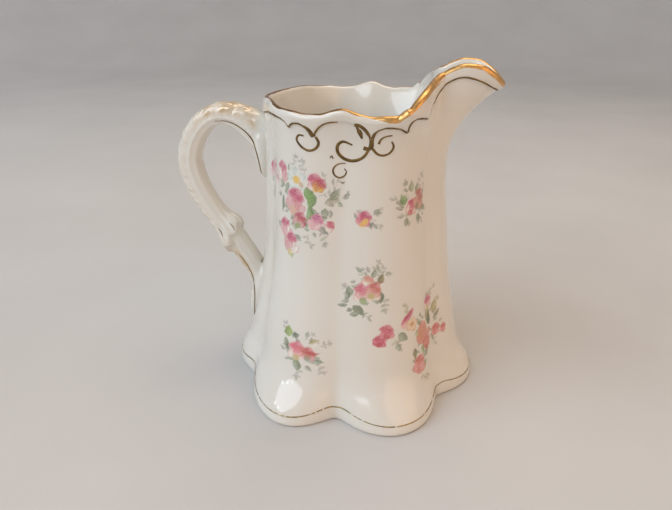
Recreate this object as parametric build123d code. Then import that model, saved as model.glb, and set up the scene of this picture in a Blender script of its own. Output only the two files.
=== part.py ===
from build123d import *
import os
from math import atan2, copysign, cos, degrees, exp, pi, radians, sin, sqrt

# Porcelain cream jug: a slip-cast body with six flutes, a scalloped foot and a pulled-out
# spout, a separately cast strap handle, three runs of gilding and six transfer prints.
# Origin: on the jug's axis at the plane of the foot. +X points to the spout, +Z is up.
# Millimetres throughout.

# ---- driving dimensions -------------------------------------------------------------
FLUTES = 6                       # lobes round the body, one under the spout
WALL = 2.6                       # thickness of the cast wall, normal to the surface
FLOOR_TOP = 5.5                  # height of the inside of the floor
RECESS_DEPTH = 2.0               # hollow under the floor, inside the foot ring
FOOT_RING = 5.0                  # width of the ring that the jug stands on
FOOT_EDGE = 1.4                  # rounding of the foot's lower edge
FILM = 0.25                      # thickness given to gilding and transfer prints
FILM_LIFT = 0.06                 # clearance between those layers and the body's drawn surface
TOP = 131.0                      # height that the body is drawn to before the rim is cut
SIDE = 70.0                      # half length of a prism that runs through the whole jug

# Radius of the lobes' crests, from the foot up: (height, radius).
CREST = [(0, 51.9), (2.5, 51.5), (6, 50.2), (9.5, 48.1), (13, 45.9), (18, 44.2), (25, 42.7), (34, 40.9),
         (45, 39.0), (58, 37.3), (72, 36.2), (86, 35.3), (98, 35.05), (TOP, 35.05)]
# Depth of the flutes between the lobes: (height, depth).
FLUTE_DEPTH = [(0, 7.6), (5, 6.4), (12, 4.6), (25, 3.4), (50, 2.8), (90, 2.4), (115, 2.0), (TOP, 2.0)]
FLUTE_SHARPNESS = 0.22           # small values give narrow flutes between broad lobes
FOOT_SPREAD = 5.6                # extra reach of the side lobes at the foot
FOOT_TUCK = 0.6                  # shorter reach of the lobe under the handle
FOOT_TURN = 6.0                  # degrees that the foot's back side lobes are turned to the spout
TURN_ANGLE, TURN_WIDTH = 116.0, 20.0   # where that turn is greatest, and how quickly it fades to either side
TURN_LOW, TURN_HIGH = 10.0, 40.0       # heights between which it dies out
FOOT_HEIGHT = 20.0               # height over which the foot's spread dies out
SPOUT_LEAN = 0.95                # the upper body leans this far back from the spout
LEAN_START, LEAN_END = 56, 90    # heights between which it leans over

MOUTH_START, MOUTH_END = 96.0, 114.0   # heights between which the mouth flares
MOUTH_SIDE = 4.6                 # flare at the sides
MOUTH_SHOULDER = 4.4             # further flare beside the spout
SHOULDER_ANGLE, SHOULDER_WIDTH = 58.0, 17.0    # where that shoulder is, in degrees

NOSE_START = 92.0                # height at which the spout leaves the body
NOSE_RISE = 28.6                 # height of the spout's underside
NOSE_REACH = 17.9                # reach of the lip over that height
NOSE_CURVE = 2.1                 # how quickly the underside sweeps outwards
NOSE_HALF_ANGLE = 24.0           # half of the angle that the spout takes up, in degrees
NOSE_BLUNTNESS = 1.4

# Height of the rim along the jug, from behind the handle side to the tip of the lip: (x, height).
RIM = [(-45, 113.2), (-38, 113.4), (-30, 114.0), (-22, 113.0), (-18.5, 112.9), (-13, 112.3), (-8, 112.6),
       (0, 114.6), (6, 112.9), (10, 112.3), (14, 112.6), (17.5, 112.6), (21, 115.0), (24.5, 118.8),
       (28.5, 122.8), (33, 126.3), (38, 127.7), (43, 127.2), (47.5, 124.8), (50.5, 122.3), (52.5, 120.2),
       (56, 114), (90, 113)]

# Strap of the handle, from the upper root to the lower: (x, height, half thickness, half width).
STRAP = [(-33, 93.5, 7.0, 5.5), (-39.5, 99.8, 6.6, 5.2), (-44.6, 103.2, 5.8, 4.9), (-49.5, 105.2, 4.9, 4.7),
         (-54.5, 105.6, 4.4, 4.6), (-59.5, 103.8, 4.3, 4.6), (-64, 99.8, 4.6, 4.6), (-67.5, 94, 4.8, 4.6),
         (-69.2, 87, 4.9, 4.6), (-68.3, 80.5, 5.0, 4.6), (-65.8, 74, 4.8, 4.6), (-62.4, 68, 4.6, 4.6),
         (-58.7, 62.8, 4.6, 4.7), (-55.2, 58.3, 5.4, 5.3), (-52, 53.9, 5.8, 5.5), (-48.7, 49.4, 4.9, 4.9),
         (-45.2, 44.4, 4.3, 4.6), (-42, 38.8, 4.1, 4.6), (-39.5, 32, 4.0, 4.5), (-37, 26, 4.0, 4.0)]
# Leaves that spread the two roots over the body: (centre x, centre height, semi-axes, tilt).
UPPER_LEAF = (-36.5, 93.0, (5.0, 7.0, 12.5), 0.0)
LOWER_LEAF = (-41.0, 30.0, (5.2, 7.5, 14.5), 11.0)

GOLD_RIM = 1.0                   # width of the bead of gold along the rim
RIM_SECTIONS = 40                # stretches that set out half of that bead
LIP_CROWDING = 0.6               # how far those points crowd towards the lip
RIM_LOW, RIM_STEP, RIM_TOLERANCE = 105.0, 0.5, 0.01    # where the search for the rim starts, and its steps
FOOT_LINE = (2.9, 3.7)           # lower and upper edge of the gold line round the foot
SCROLL_LOW = 85.0                # a level below the lowest scroll
FILM_MARGIN = 8.0                # a film is drawn this far past the gilding or print, then cut
PEN_BROAD, PEN_FINE = 1.0, 0.6   # widths of the gilder's strokes below the rim
# Strokes below the rim, each a smooth line through (x, height): the broken line first, then scrolls.
BROAD_STROKES = [
    [(-23, 110.6), (-20.4, 109.7), (-18.6, 108.2)],
    [(-18.6, 108.2), (-15.8, 109.9), (-13.0, 109.3), (-10.4, 106.0)],
    [(-9.6, 107.0), (-7.9, 109.2), (-5.1, 110.9), (-2.3, 111.3)],
    [(-8.8, 106.0), (-8.6, 103.0), (-11.9, 100.7), (-15.4, 102.2), (-16.2, 104.6), (-13.8, 105.9)],
    [(3.9, 110.5), (7.6, 109.3), (9.0, 104.5), (6.6, 99.5), (3.4, 97.9), (-0.2, 98.6), (-1.9, 101.6),
     (-0.4, 104.0), (3.1, 103.5)],
    [(9.4, 103.2), (10.3, 108.1), (14.0, 110.0), (18.2, 109.8), (20.5, 108.1)],
    [(9.4, 102.4), (11.3, 100.5), (14.0, 100.3), (16.2, 102.4), (15.8, 104.9)],
    [(20.5, 108.4), (21.6, 111.6), (23.6, 113.0), (26.5, 111.8)],
    [(26.6, 112.2), (28.0, 117.2), (32.4, 122.2), (36.9, 123.8), (41.6, 123.0), (45.4, 121.3), (48.8, 119.2)],
]
FINE_STROKES = [
    [(11.0, 104.2), (13.0, 106.4), (16.0, 107.2)],
    [(-0.1, 96.8), (-2.6, 96.0), (-3.6, 94.0), (-1.8, 92.0), (0.4, 92.7), (0.7, 94.6)],
]

# Transfer prints: the blossoms of each spray as (x, height, radius), and its leaves as
# (x, height, half length, half width, angle from level).
SPRAYS = {
    "transfer_bouquet": (
        [(-27.5, 90.5, 2.4), (-17.0, 88.0, 3.0), (-11.0, 90.0, 2.4), (-17.4, 82.0, 3.0), (-15.2, 76.2, 2.3),
         (-8.6, 77.2, 2.2), (-22.3, 72.5, 2.3), (-19.0, 67.0, 2.4)],
        [(-11.2, 82.2, 3.4, 1.2, 105), (-4.0, 83.4, 3.6, 1.1, 10), (-23.0, 84.0, 3.2, 1.1, 60),
         (-12.5, 70.5, 3.2, 1.1, -30), (-6.0, 90.5, 2.8, 1.0, 35), (-21.5, 94.5, 3.0, 1.0, 100)]),
    "transfer_bud": (
        [(7.4, 79.0, 2.2)],
        [(10.2, 75.4, 2.2, 0.8, -50)]),
    "transfer_spout_spray": (
        [(24.2, 82.4, 3.0)],
        [(20.0, 84.5, 2.8, 1.0, 140), (22.4, 89.0, 3.0, 1.0, 100), (25.2, 76.6, 2.8, 1.0, -80)]),
    "transfer_centre_spray": (
        [(11.0, 52.4, 3.0), (8.0, 49.6, 2.4), (13.6, 55.6, 1.8)],
        [(3.4, 49.8, 2.8, 1.1, 110), (5.4, 43.4, 3.2, 1.1, -35), (8.4, 57.6, 3.0, 1.0, 70)]),
    "transfer_foot_spray": (
        [(-16.6, 25.6, 3.0), (-10.0, 25.0, 2.2)],
        [(-20.8, 30.4, 3.4, 1.2, 120), (-15.4, 19.6, 2.6, 1.1, -70), (-6.2, 23.0, 2.8, 0.9, -10)]),
    "transfer_lobe_spray": (
        [(15.7, 34.0, 2.0), (18.2, 37.0, 1.8), (25.0, 39.8, 2.6), (30.4, 42.6, 2.0), (29.6, 33.6, 2.8),
         (33.8, 28.6, 1.8), (36.0, 29.6, 1.6), (31.0, 19.6, 2.3)],
        [(27.6, 37.0, 3.2, 1.1, 75), (32.4, 36.4, 3.2, 1.1, 60), (27.6, 27.4, 3.0, 1.0, -60),
         (33.4, 23.4, 3.0, 1.0, 60)]),
}

SECTION_HEIGHTS = [0, 0.7, 1.6, 3.5, 6, 8.5, 11, 14, 18, 22, 27, 32, 38, 44, 50, 56, 62, 68, 74, 80, 86, 92, 96,
                   99, 102, 105, 108.5, 112, 115, 118, 121, 124, 127, TOP]
SECTION_POINTS = 72


# ---- the surface of the body ---------------------------------------------------------
def curve(points, x):
    """Smooth value at x of a curve through (x, value) points."""
    if x <= points[0][0]:
        return points[0][1]
    if x >= points[-1][0]:
        return points[-1][1]
    gaps = [points[i + 1][0] - points[i][0] for i in range(len(points) - 1)]
    rises = [(points[i + 1][1] - points[i][1]) / gaps[i] for i in range(len(gaps))]
    slopes = [rises[0]]
    for i in range(1, len(rises)):
        same_way = rises[i - 1] * rises[i] > 0
        slopes.append(2 * rises[i - 1] * rises[i] / (rises[i - 1] + rises[i]) if same_way else 0.0)
    slopes.append(rises[-1])
    i = max(j for j in range(len(gaps)) if points[j][0] <= x)
    t = (x - points[i][0]) / gaps[i]
    start, end = points[i][1], points[i + 1][1]
    return (start * (2 * t ** 3 - 3 * t ** 2 + 1) + gaps[i] * slopes[i] * (t ** 3 - 2 * t ** 2 + t)
            + end * (3 * t ** 2 - 2 * t ** 3) + gaps[i] * slopes[i + 1] * (t ** 3 - t ** 2))


def ramp(start, end, x):
    """0 before start, 1 after end, with a smooth step between."""
    t = min(max((x - start) / (end - start), 0.0), 1.0)
    return t * t * (3 - 2 * t)


def lobe(angle):
    """1 on the crest of a lobe, 0 in the flute beside it."""
    wave = sqrt(cos(FLUTES / 2 * angle) ** 2 + FLUTE_SHARPNESS ** 2)
    return (wave - FLUTE_SHARPNESS) / (sqrt(1 + FLUTE_SHARPNESS ** 2) - FLUTE_SHARPNESS)


def radius(angle, height):
    """Outer radius of the body at an angle from the spout (radians) and a height."""
    degrees_off = abs(degrees(atan2(sin(angle), cos(angle))))
    turn = radians(FOOT_TURN) * exp(-((degrees_off - TURN_ANGLE) / TURN_WIDTH) ** 2)
    turn *= 1 - ramp(TURN_LOW, TURN_HIGH, height)
    ridge = lobe(angle + copysign(turn, sin(angle)))
    side = sin(angle) ** 2
    r = curve(CREST, height) - curve(FLUTE_DEPTH, height) * (1 - ridge)
    r -= SPOUT_LEAN * cos(angle) * ramp(LEAN_START, LEAN_END, height)
    r += (1 - ramp(0, FOOT_HEIGHT, height)) * ridge * (FOOT_SPREAD * side - FOOT_TUCK * (1 - cos(angle)))
    mouth = min(max((height - MOUTH_START) / (MOUTH_END - MOUTH_START), 0.0), 1.0) ** 2
    shoulder = exp(-((degrees_off - SHOULDER_ANGLE) / SHOULDER_WIDTH) ** 2)
    r += mouth * (MOUTH_SIDE * side + MOUTH_SHOULDER * shoulder)
    if height > NOSE_START and degrees_off < NOSE_HALF_ANGLE:
        reach = NOSE_REACH * ((height - NOSE_START) / NOSE_RISE) ** NOSE_CURVE
        r += reach * (1 - (degrees_off / NOSE_HALF_ANGLE) ** 2) ** NOSE_BLUNTNESS
    if height < FOOT_EDGE:
        r -= FOOT_EDGE - sqrt(FOOT_EDGE ** 2 - (FOOT_EDGE - height) ** 2)
    return r


def offset_radius(angle, height, inset):
    """Radius of the surface that lies inset inside the body's, square to it."""
    step = 0.02
    r = radius(angle, height)
    rise = (radius(angle, height + 1) - radius(angle, height - 1)) / 2 if height > FOOT_HEIGHT else 0.0
    turn = (radius(angle + step, height) - radius(angle - step, height)) / (2 * step * r)
    return r - inset * sqrt(1 + rise ** 2 + turn ** 2)


def section(height, inset):
    """Closed outline of the body at one height."""
    angles = [pi + 2 * pi * i / SECTION_POINTS for i in range(SECTION_POINTS)]
    radii = [offset_radius(a, height, inset) for a in angles]
    points = [(r * cos(a), r * sin(a), height) for r, a in zip(radii, angles)]
    steps = [i / SECTION_POINTS for i in range(SECTION_POINTS + 1)]
    return Wire([Edge.make_spline(points, periodic=True, parameters=steps)])


def fluted_solid(inset, bottom, top=TOP):
    """Solid inside the body's surface, or inside a surface parallel to it."""
    heights = [bottom] + [h for h in SECTION_HEIGHTS if bottom + 1e-6 < h < top - 1e-6] + [top]
    return Solid.make_loft([section(h, inset) for h in heights])


def film(bottom, top):
    """Thin layer over the outside of the body that spans two heights."""
    low = max([h for h in SECTION_HEIGHTS if h <= bottom - FILM_MARGIN], default=bottom)
    high = min([h for h in SECTION_HEIGHTS if h >= top + FILM_MARGIN], default=top)
    return fluted_solid(-FILM_LIFT - FILM, low, high) - fluted_solid(-FILM_LIFT, low, high)


def front_prism(outline):
    """Prism through the front half of the jug, square to its plane of symmetry."""
    return extrude(outline, amount=SIDE)


def above_rim():
    """Everything above the rim's line."""
    points = [Vector(x, curve(RIM, x)) for x in range(RIM[0][0], RIM[-1][0] + 1)]
    corners = [points[-1], (points[-1].X, 2 * TOP), (points[0].X, 2 * TOP), points[0]]
    outline = [Edge.make_spline(points)] + [Line(corners[i], corners[i + 1]) for i in range(3)]
    return extrude(Plane.XZ * make_face(outline), amount=SIDE, both=True)


def rim_point(angle):
    """Point in the middle of the wall, on the cut edge of the rim."""
    def place(height):
        r = offset_radius(angle, height, WALL / 2)
        return Vector(r * cos(angle), r * sin(angle), height)

    low, high = RIM_LOW, RIM_LOW + RIM_STEP
    while place(high).Z < curve(RIM, place(high).X):
        low, high = high, high + RIM_STEP
    while high - low > RIM_TOLERANCE:
        middle = (low + high) / 2
        if middle < curve(RIM, place(middle).X):
            low = middle
        else:
            high = middle
    return place(high)


# ---- the pieces ------------------------------------------------------------------------
outer = fluted_solid(0, 0)
inner = fluted_solid(WALL, FLOOR_TOP)


def make_body():
    """Cast shell with its floor, foot ring and spout, open at the top."""
    recess_outline = section(FOOT_EDGE, FOOT_RING).translate((0, 0, -FOOT_EDGE))
    recess = Solid.extrude(Face(recess_outline), Vector(0, 0, RECESS_DEPTH))
    return outer - inner - above_rim() - recess


def make_handle():
    """Strap with a leaf at each root, cut to the body's surface where it is luted on."""
    sections = []
    for i, (x, z, half_thick, half_wide) in enumerate(STRAP):
        before = STRAP[max(i - 1, 0)]
        after = STRAP[min(i + 1, len(STRAP) - 1)]
        plane = Plane(origin=(x, 0, z), x_dir=(0, 1, 0), z_dir=(after[0] - before[0], 0, after[1] - before[1]))
        sections.append(plane * Ellipse(half_wide, half_thick))
    handle = loft(sections)
    for x, z, axes, tilt in (UPPER_LEAF, LOWER_LEAF):
        handle += Pos(x, 0, z) * Rot(0, tilt, 0) * scale(Sphere(1), by=axes)
    return handle - outer


def make_rim_gilding():
    """Bead of gold that runs round the top of the rim, in two halves that meet at the lip."""
    turns = [i / RIM_SECTIONS for i in range(RIM_SECTIONS + 1)]
    angles = [pi * (1 + t) + LIP_CROWDING * sin(pi * t) for t in turns]
    points = [rim_point(angle) + Vector(0, 0, GOLD_RIM / 2 + FILM_LIFT) for angle in angles]
    profile = Plane(origin=points[0], z_dir=points[1] - points[0]) * Circle(GOLD_RIM / 2)
    front = sweep(profile, path=Polyline(*points), transition=Transition.RIGHT).solid()
    return Compound([front, mirror(front, about=Plane.XZ)])


def stroke(points, width):
    """Prism of one pen stroke."""
    line = Edge.make_spline([Vector(x, z) for x, z in points])
    return front_prism(Plane.XZ * trace(line, line_width=width))


def leaf(x, z, half_length, half_width, angle):
    """Prism of one printed leaf."""
    return front_prism(Plane.XZ * (Pos(x, z) * Rot(0, 0, angle) * Ellipse(half_length, half_width)))


def blossom(x, z, size):
    """Prism of one printed blossom."""
    return front_prism(Plane.XZ * (Pos(x, z) * Circle(size)))


def laid_on(bottom, top, prisms):
    """The film between two heights where it lies in any of the prisms, and the same at the back."""
    tool = prisms[0]
    for prism in prisms[1:]:
        tool += prism
    front = (film(bottom, top) & tool).solids()
    return Compound(front + [mirror(solid, about=Plane.XZ) for solid in front])


def write(name, shape):
    """Write one node with its solids."""
    solids = shape.solids()
    export_step(solids[0] if len(solids) == 1 else Compound(solids), f"parts/{name}.step")
    print(name, len(solids), "solids", round(sum(s.volume for s in solids), 1), "mm3")


os.makedirs("parts", exist_ok=True)
write("body", make_body())
write("handle", make_handle())
write("rim_gilding", make_rim_gilding())
scrolls = [stroke(points, PEN_BROAD) for points in BROAD_STROKES]
scrolls += [stroke(points, PEN_FINE) for points in FINE_STROKES]
write("shoulder_gilding", laid_on(SCROLL_LOW, TOP, scrolls))
write("foot_gilding", fluted_solid(-FILM_LIFT - FILM, *FOOT_LINE) - fluted_solid(-FILM_LIFT, *FOOT_LINE))
for name, (blossoms, leaves) in SPRAYS.items():
    prints = [blossom(*b) for b in blossoms] + [leaf(*shape) for shape in leaves]
    heights = [z for x, z, *size in blossoms + leaves]
    write(name, laid_on(min(heights), max(heights), prints))
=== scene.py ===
from math import cos, pi, radians, sin

import bpy
import numpy as np
from mathutils import Matrix, Vector
from mathutils.bvhtree import BVHTree


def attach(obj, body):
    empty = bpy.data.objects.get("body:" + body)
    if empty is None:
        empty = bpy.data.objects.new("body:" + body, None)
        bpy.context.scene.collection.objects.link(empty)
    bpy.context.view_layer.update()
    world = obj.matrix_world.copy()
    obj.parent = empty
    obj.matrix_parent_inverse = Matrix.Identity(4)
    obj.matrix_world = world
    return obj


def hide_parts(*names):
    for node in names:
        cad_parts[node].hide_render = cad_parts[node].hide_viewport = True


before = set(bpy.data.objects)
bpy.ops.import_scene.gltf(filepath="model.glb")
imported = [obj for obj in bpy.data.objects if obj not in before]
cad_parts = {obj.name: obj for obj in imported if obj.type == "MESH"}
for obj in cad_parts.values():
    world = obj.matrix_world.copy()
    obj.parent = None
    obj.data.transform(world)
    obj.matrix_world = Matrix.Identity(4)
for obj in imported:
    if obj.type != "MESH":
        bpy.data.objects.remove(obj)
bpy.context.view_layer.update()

# Porcelain cream jug. Shapes are worked out in millimetres from the same driving sizes as the
# CAD model and turned into metres as each mesh is made. Angles run from the spout (+X), and the
# front of the jug is at negative angles.
MM = 0.001

# ---- driving sizes; those of the body are as in the CAD model ----
# CREST, FLUTE_DEPTH: (height, radius) and (height, depth). RIM: (x, height), from the handle to the lip.
FLUTES = 6
WALL = 2.6
FLOOR_TOP = 5.5
RECESS_DEPTH = 2.0
FOOT_RING = 5.0
FOOT_EDGE = 1.4
TOP = 131.0
CREST = [(0, 51.9), (2.5, 51.5), (6, 50.2), (9.5, 48.1), (13, 45.9), (18, 44.2), (25, 42.7), (34, 40.9),
         (45, 39.0), (58, 37.3), (72, 36.2), (86, 35.3), (98, 35.05), (TOP, 35.05)]
FLUTE_DEPTH = [(0, 7.6), (5, 6.4), (12, 4.6), (25, 3.4), (50, 2.8), (90, 2.4), (115, 2.0), (TOP, 2.0)]
FLUTE_SHARPNESS = 0.22
FOOT_SPREAD, FOOT_TUCK, FOOT_HEIGHT = 5.6, 0.6, 20.0
FOOT_TURN, TURN_ANGLE, TURN_WIDTH, TURN_LOW, TURN_HIGH = 6.0, 116.0, 20.0, 10.0, 40.0
SPOUT_LEAN, LEAN_LOW, LEAN_HIGH = 0.95, 56.0, 90.0
MOUTH_START, MOUTH_END, MOUTH_SIDE, MOUTH_SHOULDER = 96.0, 114.0, 4.6, 4.4
SHOULDER_ANGLE, SHOULDER_WIDTH = 58.0, 17.0
NOSE_START, NOSE_RISE, NOSE_REACH, NOSE_CURVE = 92.0, 28.6, 17.9, 2.1
NOSE_HALF_ANGLE, NOSE_BLUNTNESS = 24.0, 1.4
RIM = [(-45, 113.2), (-38, 113.4), (-30, 114.0), (-22, 113.0), (-18.5, 112.9), (-13, 112.3), (-8, 112.6),
       (0, 114.6), (6, 112.9), (10, 112.3), (14, 112.6), (17.5, 112.6), (21, 115.0), (24.5, 118.8),
       (28.5, 122.8), (33, 126.3), (38, 127.7), (43, 127.2), (47.5, 124.8), (50.5, 122.3), (52.5, 120.2),
       (56, 114), (90, 113)]
# Strap of the handle, from the upper root down: (x, height, half thickness, half width). It follows the
# CAD model's line, but is slimmer at the cuff, whose relief is added to it, and its ends stop elsewhere
# inside the roots.
STRAP = [(-34.8, 96.0, 7.0, 5.6), (-39.5, 99.8, 6.6, 5.2), (-44.6, 103.2, 5.8, 4.9), (-49.5, 105.2, 4.9, 4.7),
         (-54.5, 105.6, 4.4, 4.6), (-59.5, 103.8, 4.3, 4.6), (-64, 99.8, 4.6, 4.6), (-67.5, 94, 4.8, 4.6),
         (-69.2, 87, 4.9, 4.6), (-68.3, 80.5, 5.0, 4.6), (-65.8, 74, 4.8, 4.6), (-62.4, 68, 4.6, 4.6),
         (-58.7, 62.8, 4.5, 4.6), (-55.2, 58.3, 4.8, 4.8), (-52.0, 53.9, 4.7, 4.8), (-48.7, 49.4, 4.4, 4.6),
         (-45.2, 44.4, 4.2, 4.6), (-42.0, 38.8, 4.0, 4.6), (-39.8, 32, 4.0, 4.6)]


# ---- small helpers ----
def curve(points, x):
    """Smooth values at x of a curve through (x, value) points, with no overshoot."""
    xs, ys = np.array(points, float).T
    gaps = np.diff(xs)
    rises = np.diff(ys) / gaps
    slopes = np.concatenate(([rises[0]], np.zeros(len(rises) - 1), [rises[-1]]))
    same_way = rises[:-1] * rises[1:] > 0
    total = np.where(same_way, rises[:-1] + rises[1:], 1.0)
    slopes[1:-1] = np.where(same_way, 2 * rises[:-1] * rises[1:] / total, 0.0)
    x = np.clip(x, xs[0], xs[-1])
    i = np.clip(np.searchsorted(xs, x, side="right") - 1, 0, len(gaps) - 1)
    t = (x - xs[i]) / gaps[i]
    return (ys[i] * (2 * t ** 3 - 3 * t ** 2 + 1) + gaps[i] * slopes[i] * (t ** 3 - 2 * t ** 2 + t)
            + ys[i + 1] * (3 * t ** 2 - 2 * t ** 3) + gaps[i] * slopes[i + 1] * (t ** 3 - t ** 2))


def ramp(start, end, x):
    """0 before start, 1 after end, with a smooth step between."""
    t = np.clip((np.asarray(x, float) - start) / (end - start), 0, 1)
    return t * t * (3 - 2 * t)


def unit(v):
    return v / np.maximum(np.linalg.norm(v, axis=-1, keepdims=True), 1e-12)


def smooth_path(points, spacing):
    """Points about spacing apart along a smooth curve through the given ones, of any width."""
    p = np.array(points, float)
    ends = np.vstack([2 * p[0] - p[1], p, 2 * p[-1] - p[-2]])
    dense = []
    for a, b, c, d in zip(ends[:-3], ends[1:-2], ends[2:-1], ends[3:]):
        t = np.linspace(0, 1, 40, endpoint=False)[:, None]
        dense.append(0.5 * (2 * b + (c - a) * t + (2 * a - 5 * b + 4 * c - d) * t ** 2
                            + (3 * b - a - 3 * c + d) * t ** 3))
    dense = np.vstack(dense + [p[-1:]])
    run = np.concatenate(([0], np.cumsum(np.linalg.norm(np.diff(dense[:, :2], axis=0), axis=1))))
    steps = np.linspace(0, run[-1], max(int(run[-1] / spacing), 4) + 1)
    return np.column_stack([np.interp(steps, run, dense[:, k]) for k in range(dense.shape[1])])


def make_object(name, vertices, faces):
    """Smooth mesh object from millimetre vertices."""
    mesh = bpy.data.meshes.new(name)
    mesh.from_pydata((np.asarray(vertices) * MM).tolist(), [], faces)
    mesh.update()
    obj = bpy.data.objects.new(name, mesh)
    bpy.context.scene.collection.objects.link(obj)
    mesh.polygons.foreach_set("use_smooth", [True] * len(mesh.polygons))
    return obj


def grid_faces(rows, columns, wrap_rows=False):
    """Quads of a rows by columns grid of vertices whose rows are closed loops."""
    faces = []
    for i in range(rows if wrap_rows else rows - 1):
        below, above = i * columns, ((i + 1) % rows) * columns
        for j in range(columns):
            k = (j + 1) % columns
            faces.append((below + j, below + k, above + k, above + j))
    return faces


def capped(rows):
    """Vertices and faces of stacked loops, with the first and last closed by a face."""
    count, last = len(rows[0]), len(rows[0]) * (len(rows) - 1)
    faces = grid_faces(len(rows), count)
    faces.append(tuple(range(count - 1, -1, -1)))
    faces.append(tuple(last + j for j in range(count)))
    return np.vstack(rows), faces


# ---- the body's surface ----
def lobe(angle):
    """1 on the crest of a lobe, 0 in the flute beside it."""
    wave = np.sqrt(np.cos(FLUTES / 2 * angle) ** 2 + FLUTE_SHARPNESS ** 2)
    return (wave - FLUTE_SHARPNESS) / (np.sqrt(1 + FLUTE_SHARPNESS ** 2) - FLUTE_SHARPNESS)


def foot_turn(degrees_off, height):
    """How far the lobes behind the jug's middle are turned to the spout at the foot, in radians."""
    share = np.exp(-((degrees_off - TURN_ANGLE) / TURN_WIDTH) ** 2)
    return np.radians(FOOT_TURN) * share * (1 - ramp(TURN_LOW, TURN_HIGH, height))


def radius(angle, height):
    """Outer radius of the body."""
    angle, height = np.broadcast_arrays(np.asarray(angle, float), np.asarray(height, float))
    side = np.sin(angle) ** 2
    off = np.abs(np.degrees(np.arctan2(np.sin(angle), np.cos(angle))))
    turn = foot_turn(off, height)
    ridge = lobe(angle + turn * np.sign(np.sin(angle)))
    r = curve(CREST, height) - curve(FLUTE_DEPTH, height) * (1 - ridge)
    r = r - SPOUT_LEAN * np.cos(angle) * ramp(LEAN_LOW, LEAN_HIGH, height)
    foot = 1 - ramp(0, FOOT_HEIGHT, height)
    r = r + foot * ridge * (FOOT_SPREAD * side - FOOT_TUCK * (1 - np.cos(angle)))
    mouth = np.clip((height - MOUTH_START) / (MOUTH_END - MOUTH_START), 0, 1) ** 2
    shoulder = np.exp(-((off - SHOULDER_ANGLE) / SHOULDER_WIDTH) ** 2)
    r = r + mouth * (MOUTH_SIDE * side + MOUTH_SHOULDER * shoulder)
    reach = NOSE_REACH * (np.clip(height - NOSE_START, 0, None) / NOSE_RISE) ** NOSE_CURVE
    return r + reach * np.clip(1 - (off / NOSE_HALF_ANGLE) ** 2, 0, None) ** NOSE_BLUNTNESS


def surface(angle, height):
    """Points on the body's outer surface, and the outward normals there."""
    def at(a, h):
        r = radius(a, h)
        return np.stack([r * np.cos(a), r * np.sin(a), np.broadcast_to(h, r.shape)], axis=-1)

    turn, rise = 0.01, 0.3
    low, high = np.maximum(height - rise, 0), np.minimum(height + rise, TOP)
    around = at(angle + turn, height) - at(angle - turn, height)
    upward = at(angle, high) - at(angle, low)
    return at(angle, height), unit(np.cross(around, upward)), unit(upward)


def rim_height(angle):
    """Height at which the rim's line crosses the body's surface."""
    heights = np.arange(RIM_LOW, TOP + 0.01, RIM_STEP)
    r = radius(angle[:, None], heights[None, :])
    above = heights[None, :] - curve(RIM, r * np.cos(angle)[:, None])
    first = np.maximum(np.argmax(above >= 0, axis=1), 1)
    rows = np.arange(len(angle))
    before, after = above[rows, first - 1], above[rows, first]
    return heights[first - 1] + RIM_STEP * before / (before - after)


def front_angle(x, height):
    """Angle of the point of the front surface with this x and height."""
    low, high = np.full(np.shape(x), -pi), np.zeros(np.shape(x))
    for _ in range(40):
        middle = (low + high) / 2
        beyond = radius(middle, height) * np.cos(middle) > x
        high = np.where(beyond, middle, high)
        low = np.where(beyond, low, middle)
    return (low + high) / 2


BAND_EDGE = [(-45, 107.4), (-34, 108.6), (-27, 109.8), (-23, 110.6), (-20.4, 109.7), (-18.6, 107.9),
             (-17.6, 109.2), (-15.4, 109.9), (-12.6, 108.8), (-10.2, 106.2), (-9.4, 107.4), (-7.9, 109.2),
             (-5, 110.9), (0, 111.4), (4, 110.6), (8, 107.5), (9.6, 106.8), (10.8, 108.6), (14, 110),
             (18.2, 109.8), (20.4, 108.0), (21.4, 111.2), (23.6, 113), (26.2, 111.8), (27.6, 116.2),
             (29.6, 119.4), (32.4, 122.0), (36.9, 123.7), (41.6, 122.9), (45.4, 121.2), (48.8, 119.1),
             (53, 116)]
BAND_RISE = 0.6
RIM_LOW, RIM_STEP = 104, 0.1     # where the search for the rim starts, and its steps


def moulded(angle, height, r):
    """Height of the moulded band that follows the rim."""
    edge = curve(BAND_EDGE, r * np.cos(angle))
    return BAND_RISE * ramp(-0.5, 0.5, height - edge)


# ---- body ----
COLUMNS = 440                    # vertices round the body
SPOUT_CROWDING = 0.42            # how far they crowd towards the spout
OUTER_ROWS, INNER_ROWS, RIM_CROWDING = 150, 70, 0.16
RECESS_FILLET, RING_FILLET, FLOOR_FILLET = 0.8, 0.6, 3.0
FLOOR_SHARE = 0.91               # share of the inside's width that is flat floor
LEAST_RING = 0.3


def body_angles():
    turns = np.arange(COLUMNS) / COLUMNS
    return -pi + 2 * pi * turns + SPOUT_CROWDING * np.sin(2 * pi * turns)


def outer_point(angle, height):
    point, normal, upward = surface(angle, height)
    raised = moulded(angle, height, radius(angle, height))
    return point + normal * raised[..., None], normal, upward


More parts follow.
